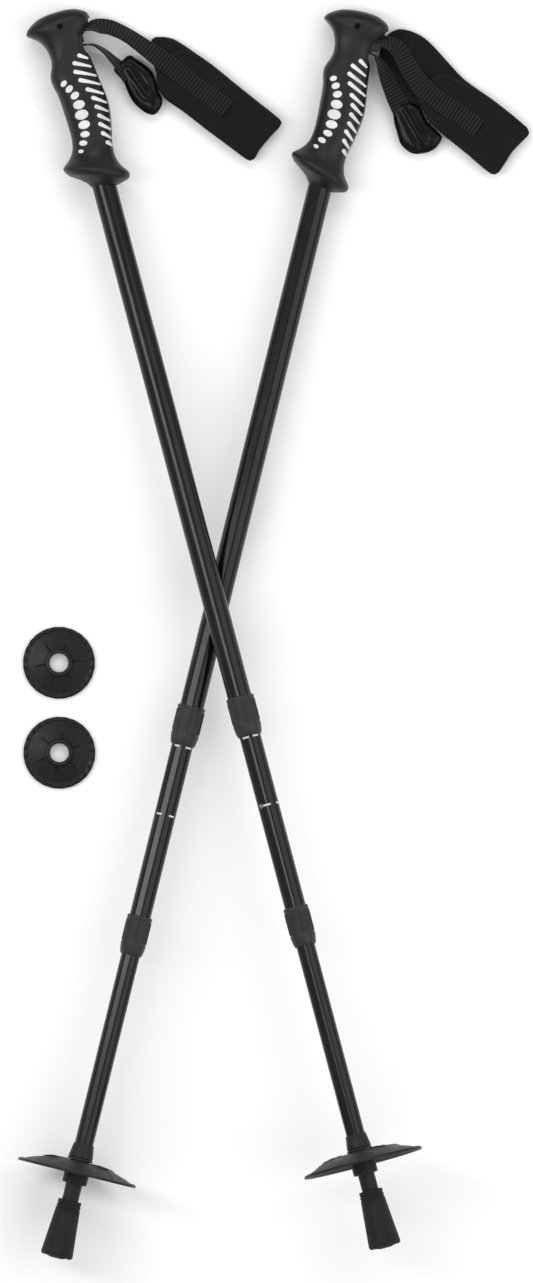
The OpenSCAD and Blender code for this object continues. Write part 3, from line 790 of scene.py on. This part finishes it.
def dome(r):
    """Height of the disc's outer face at a radius."""
    rr = [0, 9.6, 20, 28, 36, 41, BASKET_R]
    zz = [-12.8, -12.9, -13.4, -14.5, -17.0, -19.1, -21.4]
    return np.interp(r, rr, zz)


def smooth_dome(r):
    """The same with its bends smoothed."""
    return sum(dome(np.clip(r + k, 0, BASKET_R)) for k in (-1.5, -0.75, 0, 0.75, 1.5)) / 5


def circle(cx, r, n):
    """Points round (cx, 0)."""
    t = np.linspace(0, 2 * math.pi, n, endpoint=False)
    return np.column_stack([cx + r * np.cos(t), r * np.sin(t)])


def window(n=26):
    """D-shaped window between the rim ring and a wide inner arc."""
    ro, c, ri = 42.4, 89.8, 65.4
    a = math.acos((ro * ro + c * c - ri * ri) / (2 * ro * c))
    b = math.asin(ro * math.sin(a) / ri)
    outer = [(ro * math.cos(t), ro * math.sin(t)) for t in np.linspace(-a, a, n)]
    inner = [(c - ri * math.cos(t), ri * math.sin(t)) for t in np.linspace(b, -b, n)][1:-1]
    pts = catmull(respace(np.array(outer + inner), 3.0, True), 3, True)
    return respace(pts, 1.2, True)


def turned(points, deg):
    """(x, y) or (x, y, z) points turned about Z."""
    p = np.array(points, float)
    c, s = math.cos(math.radians(deg)), math.sin(math.radians(deg))
    p[:, :2] = p[:, :2] @ np.array([[c, s], [-s, c]])
    return p


def make_basket(side):
    """Snow basket: a domed disc with lipped holes and two recessed panels, and its hub with fins."""
    holes = [circle(0, SEAT_R, 64)] + [turned(circle(HOLE_OUT, HOLE_R, 40), 90 * i) for i in range(4)]
    co, tris, loops = plate(circle(0, BASKET_R, 220), holes, 1.5)
    deep = np.zeros(len(co))
    for i in (0, 1):
        panel = turned(window(), 45 + 180 * i)
        d = loop_dist(co, panel) * np.where(in_loop(co, panel), 1, -1)
        deep = np.maximum(deep, np.clip((d + 0.2) / 0.8, 0, 1))
    r = np.linalg.norm(co, axis=1)
    top = smooth_dome(r)
    rim = np.clip((r - 43.0) / 1.2, 0, 1)
    lips = np.zeros(len(co))
    for h in holes[1:]:
        lips = np.maximum(lips, np.exp(-((loop_dist(co, h) - 0.6) / 1.0) ** 2))
    low = top - 1.5 - 0.3 * rim
    top = top + 0.25 * rim + 0.8 * lips - 1.1 * deep
    m = along(side, LOWER_OUT[side]) @ Matrix.Rotation(math.radians(-BASKET_TURN[side]), 4, "Z")
    look = (m, side + "_basket", M_BASKET, "basket_plastic")
    disc = slab_mesh(co, tris, loops, top, low)
    bevel(build(side + "_basket_disc", *disc, *look, [side + "_snow_basket"], 40), 0.35, 2, 50)
    # hub sleeve below the disc, with a thumb lug on each side and stiffening fins
    hub = [(6.95, -12.75), (9.3, -13.3), (9.25, -29.6), (8.7, -30.4), (6.95, -30.4)]
    parts = [lathe(rounded(hub, 0.4), 96)]
    for a in (-45, 135):
        verts, faces = box_bar(8.6, 10.6, -2.2, 2.2, -29.8, -15.2, 0.5)
        parts.append((turned(verts, a), faces))
    parts += [fin(9.0, 20.0, a + k) for a in (0, 90, 180, 270) for k in (-32, 32)]
    build(side + "_basket_hub", *join_raw(parts), *look, [], 40)


def box_bar(x0, x1, y0, y1, z0, z1, r):
    """Box with its edges chamfered by r."""
    verts = []
    for x, ins in ((x0, r), (x0 + r, 0), (x1 - r, 0), (x1, r)):
        a, b, c, d = y0 + ins, y1 - ins, z0 + ins, z1 - ins
        ring = [(a + r, c), (b - r, c), (b, c + r), (b, d - r)]
        ring += [(b - r, d), (a + r, d), (a, d - r), (a, c + r)]
        verts += [(x, y, z) for y, z in ring]
    return verts, skin(8, 4)


def fin(r0, r1, deg, n=10, w=0.55):
    """Tapered web under the disc, from the hub outwards."""
    verts = []
    for i in range(n + 1):
        r = r0 + (r1 - r0) * i / n
        z1 = float(smooth_dome(np.array([r]))[0]) - 0.9
        z0 = z1 - 0.4 - 7.0 * (1 - i / n) ** 1.6
        verts += [(r, -w, z1), (r, w, z1), (r, w * 0.8, z0), (r, -w * 0.8, z0)]
    return turned(verts, deg), skin(4, n + 1)


def make_foot(side):
    """Rubber foot: two grip rings at the mouth, flutes that deepen downwards and a notched tread."""
    mouth = [(6.35, -43.0), (8.3, -43.0), (8.75, -43.35), (8.9, -45.4), (8.55, -45.8), (8.6, -46.5),
             (9.0, -46.9), (9.05, -48.2), (8.7, -48.6), (8.75, -49.3), (9.15, -49.7)]
    flare = [(9.15 + 3.0 * t, -49.7 - 34.3 * t) for t in np.linspace(0.05, 1, 24)]
    tread = [(12.0, -85.3), (11.2, -86.0), (9.2, -86.3), (8.6, -85.2), (6.6, -85.0), (6.2, -86.6),
             (3.4, -87.3), (2.9, -86.2), (0.01, -86.0)]
    inner = [(0.01, -76.5), (3.3, -76.5), (3.35, -62.9), (6.35, -62.8)]

    def flute(t, r, z):
        if r > 5.5 and -86.3 < z < -52:
            d = min(1.0, (-52 - z) / 30.0)
            r -= 0.8 * d * max(0.0, math.cos(6 * t + 0.6)) ** 4
            r -= 0.25 * d * max(0.0, math.cos(12 * t + 0.6)) ** 6
        if z < -84.5 and r > 2.5:
            z += 0.9 * (0.5 + 0.5 * math.cos(12 * t)) * min(1.0, r / 9)
        return r, z

    raw = lathe(mouth + flare + tread + inner, 180, flute)
    m, body = along(side, LOWER_OUT[side]), side + "_foot"
    build(body + "_body", *raw, m, body, M_FOOT, "foot_rubber", [side + "_rubber_tip"], 40)


def make_spare(name, node, body, turn):
    """Spare basket lying on the floor: a collar, six ribs and a toothed rim."""
    lo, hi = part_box(node)
    centre = ((lo[0] + hi[0]) / 2, (lo[1] + hi[1]) / 2, 0)
    hub_r, rib_end, rim_r, edge_r = 10.4, 18.5, 23.4, 26.3
    radii = [*np.linspace(7.0, hub_r, 7), *np.linspace(hub_r + 0.5, edge_r, 34)]

    def top_z(r, t):
        if r < hub_r:
            return 7.0 - 0.5 * max(0, r - 9.6) - max(0, 7.4 - r)
        z = 4.0 - 1.75 * ((r - hub_r) / 13.0)
        if r >= rim_r:
            rim = math.sin(math.pi * min(1, (r - rim_r) / 2.9))
            z = 2.25 + (0.5 + 0.7 * max(0, math.cos(24 * t)) ** 2) * rim
        a = math.degrees(t) % 60
        off = min(a, 60 - a) * math.pi / 180 * r
        if r < rib_end:
            z += 1.0 * math.exp(-((off / 0.55) ** 4)) * min(1, (rib_end - r) / 5)
        return z

    def shape(t, r, is_top):
        rr = r + max(0.0, (r - 24.0) / 2.3) * (0.4 + 0.2 * abs(math.cos(12 * t)) ** 0.6)
        low_z = 1.5 if r < hub_r else 1.5 - 1.5 * min(1, (r - hub_r) / 13.0)
        return rr, top_z(r, t) if is_top else low_z

    raw = lathe([(r, True) for r in radii] + [(r, False) for r in radii[::-1]], 360, shape)
    place = Matrix.Translation(centre) @ Matrix.Rotation(math.radians(turn), 4, "Z") @ Matrix.Scale(MM, 4)
    build(name, *raw, place, body, M_SPARE, "basket_plastic", [node], 38)


for s in SIDES:
    make_basket(s)
    make_foot(s)
make_spare("spare_basket_disc_a", "spare_basket_a", "spare_a", 8)
make_spare("spare_basket_disc_b", "spare_basket_b", "spare_b", 20)


# ---------------- straps
# webbing in mm: width, thickness, height and pitch of its ribs
WEB_W, WEB_THICK, RIB, RIB_PITCH = 15.0, 1.3, 0.1, 2.6


def ribbon(side, name, pts, tilt, nodes=(), sewn=False):
    """Flat webbing along (x, y, z) points; tilt in degrees turns its flat from level to on edge."""
    c = respace(catmull(np.column_stack([np.asarray(pts, float), tilt]), 24), 0.55)
    path, ang = c[:, :3], np.radians(c[:, 3])
    tan = unit(np.gradient(path, axis=0))
    flat = unit(np.cross(tan, np.array((0.0, 1.0, 0.0))))
    across = flat * np.cos(ang)[:, None] + np.cross(flat, tan) * np.sin(ang)[:, None]
    norm = np.cross(across, tan)
    s = np.concatenate([[0], np.cumsum(np.linalg.norm(np.diff(path, axis=0), axis=1))])
    a = np.linspace(-0.5, 0.5, 15)
    relief = np.full(len(path), RIB)
    if sewn:
        near = seg_dist(path[:, [0, 2]], *SEWN[side])
        relief += 0.34 * np.exp(-((near / 3.0) ** 2))

    def section(i):
        h = WEB_THICK / 2
        lift = relief[i] * (0.5 + 0.5 * math.cos(2 * math.pi * s[i] / RIB_PITCH))
        top = []
        for q in a:
            e = max(0.0, 1 - ((abs(q) - 0.44) / 0.06) ** 2) ** 0.5 if abs(q) > 0.44 else 1.0
            edge = 0.0 if abs(q) > 0.43 else lift
            top.append((q * WEB_W, (h * 0.25 + h * 0.75 * e) + edge))
        return top + [(q, -b) for q, b in reversed(top)]

    uv = [(q * WEB_W, d) for d in s for q in [*a, *a[::-1]]]
    raw = sweep(path, across, norm, section)
    build(side + "_" + name, *raw, STRAP[side], side + "_strap", M_WEB, "webbing", nodes, 60, uv)


def inflate(ob, pressure, cap, frames=18):
    """Cloth with inner pressure, its movement capped at cap metres, applied to the mesh."""
    sc = bpy.context.scene
    start = np.array([v.co[:] for v in ob.data.vertices])
    mod = ob.modifiers.new("Cloth", "CLOTH")
    st = mod.settings
    st.quality = 6
    st.mass = 0.15
    st.use_pressure = True
    st.uniform_pressure_force = pressure
    st.tension_stiffness = 40
    st.compression_stiffness = 30
    st.shear_stiffness = 20
    st.bending_stiffness = 0.4
    st.effector_weights.gravity = 0
    mod.point_cache.frame_start = 1
    mod.point_cache.frame_end = frames
    for fr in range(1, frames + 1):
        sc.frame_set(fr)
    ev = ob.evaluated_get(bpy.context.evaluated_depsgraph_get())
    now = np.array([v.co[:] for v in ev.data.vertices])
    ob.modifiers.remove(mod)
    sc.frame_set(1)
    move = now - start
    d = np.linalg.norm(move, axis=1)
    k = np.where(d > cap, cap / np.maximum(d, 1e-9), 1.0)
    new = start + move * k[:, None]
    ob.data.vertices.foreach_set("co", new.ravel())
    ob.data.update()


def relax(ob, times, factor):
    """Smooths the mesh by moving each vertex towards its neighbours."""
    axes = {"use_axis_" + k: True for k in "xyz"}
    bm = bmesh.new()
    bm.from_mesh(ob.data)
    for _ in range(times):
        bmesh.ops.smooth_vert(bm, verts=bm.verts, factor=factor, **axes)
    bm.to_mesh(ob.data)
    bm.free()


def press(ob, side, mid):
    """Presses the pad's upper face down under the webbing sewn on it."""
    m = STRAP[side]
    inv = m.inverted()
    a, b = SEWN[side]
    for v in ob.data.vertices:
        q = inv @ v.co
        if q.y < mid:
            d = seg_dist(np.array([[q.x, q.z]]), a, b)[0]
            q.y += 0.75 * math.exp(-((d / 8.6) ** 4))
            v.co = m @ q


def pad_layer(side, name, edge, y_top, y_low, crown, nodes=(), trough=False):
    """One padded layer: a thin pillow cut to the edge line, blown up by cloth pressure and smoothed."""
    loop = respace(catmull(np.asarray(edge, float), 8, True), 2.6, True)
    co, tris, loops = plate(loop, [], 3.2)
    d = loop_dist(co, loop)
    swell = np.clip(d / 7.0, 0, 1)
    swell = 1 - (1 - swell) ** 2.2
    mid, half = (y_top + y_low) / 2, (y_low - y_top) / 2
    t = half * (0.4 + 0.42 * swell)
    v, f = slab_mesh(co, tris, loops, mid - t, mid + t)
    ob = build(side + "_" + name, swap(v), f, STRAP[side], side + "_strap", M_PAD, "pad", nodes, 180)
    inflate(ob, 4.0, crown * MM)
    relax(ob, 2, 0.4)
    if trough:
        press(ob, side, mid)
    sub = ob.modifiers.new("Sub", "SUBSURF")
    sub.levels = sub.render_levels = 1
    bake(ob, 180)
    return ob, loop


def surface(ob, side):
    """The piece's faces in the strap frame, for rays."""
    inv = STRAP[side].inverted()
    vs = [inv @ v.co for v in ob.data.vertices]
    return BVHTree.FromPolygons(vs, [tuple(p.vertices) for p in ob.data.polygons])


def inset(loop, d):
    """Closed line at a distance d inside the loop."""
    p = np.asarray(loop, float)
    tan = unit(np.roll(p, -1, 0) - np.roll(p, 1, 0))
    nrm = np.column_stack([-tan[:, 1], tan[:, 0]])
    if not in_loop(p[:1] + nrm[:1] * 0.5, p)[0]:
        nrm = -nrm
    q = p + nrm * d
    return q[loop_dist(q, p) > d * 0.92]


def binding(side, name, loop, y, half_w=2.5, half_h=1.9):
    """Soft tape bound round a pad's edge."""
    line = respace(catmull(inset(loop, half_w * 0.78), 3, True), 1.6, True)
    v, f = loop_sweep(np.array([(x, y, z) for x, z in line]), (0, 1, 0), oval(half_w, half_h, 18))
    ob = build(side + "_" + name, v, f, STRAP[side], side + "_strap", M_BIND, "pad", [], 180)


def stitches(side, name, line, tree):
    """Small thread stitches laid on the surface under a closed line of (x, z) points."""
    step, length, gap, lift, radius = 0.5, 2.0, 1.0, 0.12, 0.2
    pts = respace(line, step, True)
    per = int(length / step)
    parts = []
    for i in range(0, len(pts) - per, per + int(gap / step)):
        seg = []
        for k in range(per + 1):
            x, z = pts[i + k]
            hit = tree.ray_cast(Vector((x, -30, z)), Vector((0, 1, 0)))[0]
            if hit is None:
                break
            bow = math.sin(math.pi * k / per)
            seg.append((x, hit.y - lift * bow + 0.08 * (1 - bow), z))
        if len(seg) > per:
            parts.append(tube_along(seg, radius, 6))
    if parts:
        build(side + "_" + name, *join_raw(parts), STRAP[side], side + "_strap", M_THREAD, "webbing", [], 60)


# edges of the padded layers as (x, z); both layers share the sewn end
PAD_END = {
    "left": [
        (130.5, -101), (124.4, -104.8), (112.1, -113.4), (106, -119.5), (102, -119), (92.9, -108)],
    "right": [
        (118.7, -24.4), (131, -30.6), (134.9, -33.5), (133, -38), (126, -50), (122, -61.4), (118.5, -69),
        (113, -69.5), (93, -59.7), (73, -50.4)]}
PAD_FRONT = {
    "left": [
        (50.9, -51.3), (51.2, -44.5), (54, -37), (60, -31), (70, -28), (80, -29.5), (93, -43.3),
        (110, -66.6), (127.3, -89.9), (132.7, -97.6), *PAD_END["left"], (78.7, -90.1), (64.4, -71.6),
        (54.4, -59.7)],
    "right": [
        (47, -28), (49, -20), (52, -15.5), (58, -10), (66, -7), (79, -10.6), (97, -15), *PAD_END["right"],
        (60, -43), (53, -34.3)]}
PAD_BACK = {
    "left": [
        (55.9, -14), (61.6, -14), (67.3, -16.1), (73, -20.1), (84.4, -33), (101.6, -55.1), (118.7, -78),
        (132, -96.5), *PAD_END["left"], (71.7, -80.9), (58, -60), (53, -40), (52, -24)],
    "right": [
        (16.4, 13.2), (21.6, 17.2), (27.3, 18.1), (34.4, 17.6), (41.6, 15.6), (50, 11.1), (64.4, 1.4),
        (78.7, -7.6), (97.3, -15), *PAD_END["right"], (59.5, -42.6), (52, -34.6), (44.5, -32.2),
        (37, -32.7), (31, -33.5), (22.5, -25), (15.5, -13), (12.6, -3), (13.6, 7)]}
# the webbing's route as (x, z, y), with its tilt in degrees at each point
WEB_UP = {
    "left": [
        (-1, 4.9, 0), (4, 4.95, 0), (9, 5.6, 0), (14, 6.6, 0.3), (20, 5.6, 1.6), (28, 2.2, 3.0),
        (38, -6, 3.9), (48, -17.5, 4.2), (57, -28.5, 4.3), (70, -45, 4.75), (84, -63, 4.8), (97, -79, 4.9)],
    "right": [
        (-1, 4.9, 0), (4, 4.95, 0), (9, 5.5, 0), (14, 5.6, 0.8), (20, 4.8, 2.6), (27, 1.5, 4.2),
        (34, -6, 4.9), (41, -13.5, 4.6), (50, -20.5, 4.2), (62, -26.3, 4.7), (80, -33, 4.8), (98, -40, 4.9)]}
WEB_TILT = {
    "left": [90, 88, 82, 58, 41, 40, 43, 34, 18, 3, 0, 0],
    "right": [90, 84, 66, 50, 38, 28, 18, 10, 4, 0, 0, 0]}
WEB_DOWN = {
    "left": [
        (-1, -4.9, 0), (4, -4.95, 0), (8, -5.6, 0), (13, -7.6, 0.4), (19, -14, 2.4), (24, -22, 5.2),
        (28, -29.5, 7.2), (31.5, -37, 8.2)],
    "right": [
        (-1, -4.9, 0), (4, -4.95, 0), (8, -5.6, 0), (13, -9.2, 0.6), (20, -17.5, 2.8), (28, -27.5, 5.2),
        (35, -36, 7.2), (40, -42, 8.2)]}
WEB_DOWN_TILT = {
    "left": [90, 90, 88, 84, 76, 66, 54, 42],
    "right": [90, 90, 88, 70, 46, 28, 14, 8]}
# line along which the webbing is sewn on the front pad
SEWN = {"left": ((57, -28.5), (97, -79)), "right": ((55, -23), (98, -40))}
# edge of the pull tab, and the line of its ridge
TAB = {
    "left": [
        (22.2, -28.5), (30, -23.4), (35.9, -21), (40, -24.4), (47, -33), (50, -40), (50.2, -51.6),
        (51.5, -58), (50, -63), (45.9, -67.3), (41.9, -68.6), (37.3, -66.1), (33, -61), (29.4, -54.4),
        (27.7, -45.9), (26.6, -38.7)],
    "right": [
        (30.9, -37.6), (37, -33.5), (44, -33), (51.5, -35.4), (58.5, -43.6), (71, -51.2), (72.4, -55),
        (70.1, -61.4), (65.9, -65.7), (60.1, -68.6), (54.4, -70), (48, -68.1), (43, -64.3), (38.7, -57.1),
        (34.9, -50)]}
TAB_RIDGE = {"left": ((33, -30), (41, -52)), "right": ((39, -38), (61, -61))}


def swap(pts):
    """(x, z, y) triples to (x, y, z)."""
    return [(x, y, z) for x, z, y in pts]


def make_strap(side):
    """Two padded layers, the webbing that joins them through the slot, and the pull tab."""
    front, f_loop = pad_layer(side, "pad_front", PAD_FRONT[side], 5.2, 9.2, 0.9, [side + "_strap_pad"], True)
    _, b_loop = pad_layer(side, "pad_back", PAD_BACK[side], 9.3, 13.4, 0.9)
    binding(side, "pad_front_binding", f_loop, 7.0)
    binding(side, "pad_back_binding", b_loop, 11.2)
    stitches(side, "pad_seam", inset(f_loop, 5.6), surface(front, side))
    ribbon(side, "webbing_upper", swap(WEB_UP[side]), WEB_TILT[side], [side + "_strap_webbing"], True)
    ribbon(side, "webbing_lower", swap(WEB_DOWN[side]), WEB_DOWN_TILT[side])
    # webbing's turn round the wedge
    arc = [(x, 0, z) for x, z in half_round(-1, 0, 4.9, 9)]
    ribbon(side, "webbing_turn", arc, [90] * 9)
    make_tab(side)


def make_tab(side):
    """Glossy pull tab: a pillow with a raised ridge in a shallow trough."""
    loop = respace(catmull(TAB[side], 8, True), 1.0, True)
    co, tris, loops = plate(loop, [], 1.3)
    d = loop_dist(co, loop)
    rise = 1 - np.exp(-(d / 2.2) ** 1.3)
    top = 8.6 - 2.6 * rise - 0.05 * np.minimum(d, 14)
    q = seg_dist(co, *TAB_RIDGE[side])
    top = top - 1.0 * np.exp(-((q / 1.25) ** 2)) * np.clip(d / 2.5, 0, 1)
    top = top + 0.45 * np.exp(-(((q - 3.6) / 2.0) ** 2)) * np.clip(d / 4.0, 0, 1)
    low = 9.5 - 0.5 * (1 - np.clip(d / 1.2, 0, 1))
    v, f = slab_mesh(co, tris, loops, top, low)
    m, body, node = STRAP[side], side + "_strap", side + "_strap_tab"
    build(side + "_pull_tab", swap(v), f, m, body, M_TAB, "gloss_plastic", [node], 60)


def make_wedge(side):
    """Plastic wedge with a ribbed tail and rounded edges."""
    out, r = WEDGE_OUT[side], 3.8
    tail = [(x, r - 0.2 * (x - 1) - (0.25 if i % 2 else 0)) for i, x in enumerate(np.linspace(1.0, 5.8, 9))]
    edge = half_round(0, 0, r, 17) + [(x, -z) for x, z in tail] + [(6.3, -2.4), (6.3, 2.4)] + tail[::-1]
    ends = [(-7.85, 0.5), (-7.5, 0.12), (-7.0, 0), (7.0, 0), (7.5, 0.12), (7.85, 0.5)]
    verts = []
    for y, ins in ends:
        k = 1 - ins / 3.85
        verts += [(out + x * k, y, z * k) for x, z in edge]
    raw = verts, skin(len(edge), len(ends))
    m, body = STRAP[side], side + "_wedge"
    build(body + "_body", *raw, m, body, M_WEDGE, "grey_plastic", [side + "_strap_wedge"], 30)


for s in SIDES:
    make_strap(s)
    make_wedge(s)

# ---------------- carried-over CAD nodes
for name, ob in frame["nodes"].items():
    side = name.split("_")[0]
    if name.endswith("_tube"):
        mat = M_TUBE[side]
    elif name.endswith("_screw"):
        mat = M_SCREW_SHADED
    elif name.endswith("carbide_tip"):
        mat = M_CARBIDE
    elif name.split("_", 2)[-1] in ("plug", "expander", "cone"):
        mat = M_GREY
    else:
        continue
    for slot in ob.material_slots:
        slot.material = mat

# ---------------- floor, light and camera
bpy.ops.mesh.primitive_plane_add(size=14, location=(0, 0, -0.0004))
floor = bpy.context.object
floor.name = "Floor"
fm = Mat("Floor_White", (0.93, 0.93, 0.93), 0.9, 0.1)
fm.color(fm.ramp(fm.noise(3, 2), [(0.3, (0.925, 0.925, 0.925)), (0.7, (0.935, 0.935, 0.935))]))
floor.data.materials.append(fm.m)

# middle of the picture, in m
AIM = Vector((-0.00569, -0.00502, 0.04))


def area(name, direction, distance, size, size_y, power):
    """Soft light out of the camera's sight, turned to the middle of the picture."""
    light = bpy.data.lights.new(name, "AREA")
    light.shape = "RECTANGLE"
    light.size, light.size_y = size, size_y
    light.energy = power
    ob = bpy.data.objects.new(name, light)
    d = Vector(direction).normalized()
    ob.location = AIM + d * distance
    ob.rotation_euler = d.to_track_quat("Z", "Y").to_euler()
    ob.visible_camera = False
    bpy.context.scene.collection.objects.link(ob)


area("Key", (-0.52, 0.12, 0.85), 2.6, 0.4, 2.8, 25)
area("Fill", (0.66, 0.0, 0.75), 2.8, 2.4, 2.8, 30)
area("Top", (0.0, 0.9, 1.1), 2.8, 2.2, 0.6, 13)
bpy.context.scene.view_settings.view_transform = "Standard"

world = bpy.data.worlds.new("Studio")
bpy.context.scene.world = world
world.use_nodes = True
sky = world.node_tree.nodes["Background"].inputs
sky["Color"].default_value = (1, 1, 1, 1)
sky["Strength"].default_value = 0.64

# a long lens far above the floor; the picture is 0.9558 m high at the middle of the object
DIST, SENSOR, PICTURE_HEIGHT = 12.0, 36, 0.9558
cam_data = bpy.data.cameras.new("Camera")
cam_data.sensor_width = SENSOR
cam_data.lens = SENSOR * DIST / PICTURE_HEIGHT
cam_data.clip_end = 200
cam = bpy.data.objects.new("Camera", cam_data)
cam.location = AIM + Vector((0, 0, DIST))
bpy.context.scene.collection.objects.link(cam)
bpy.context.scene.camera = cam
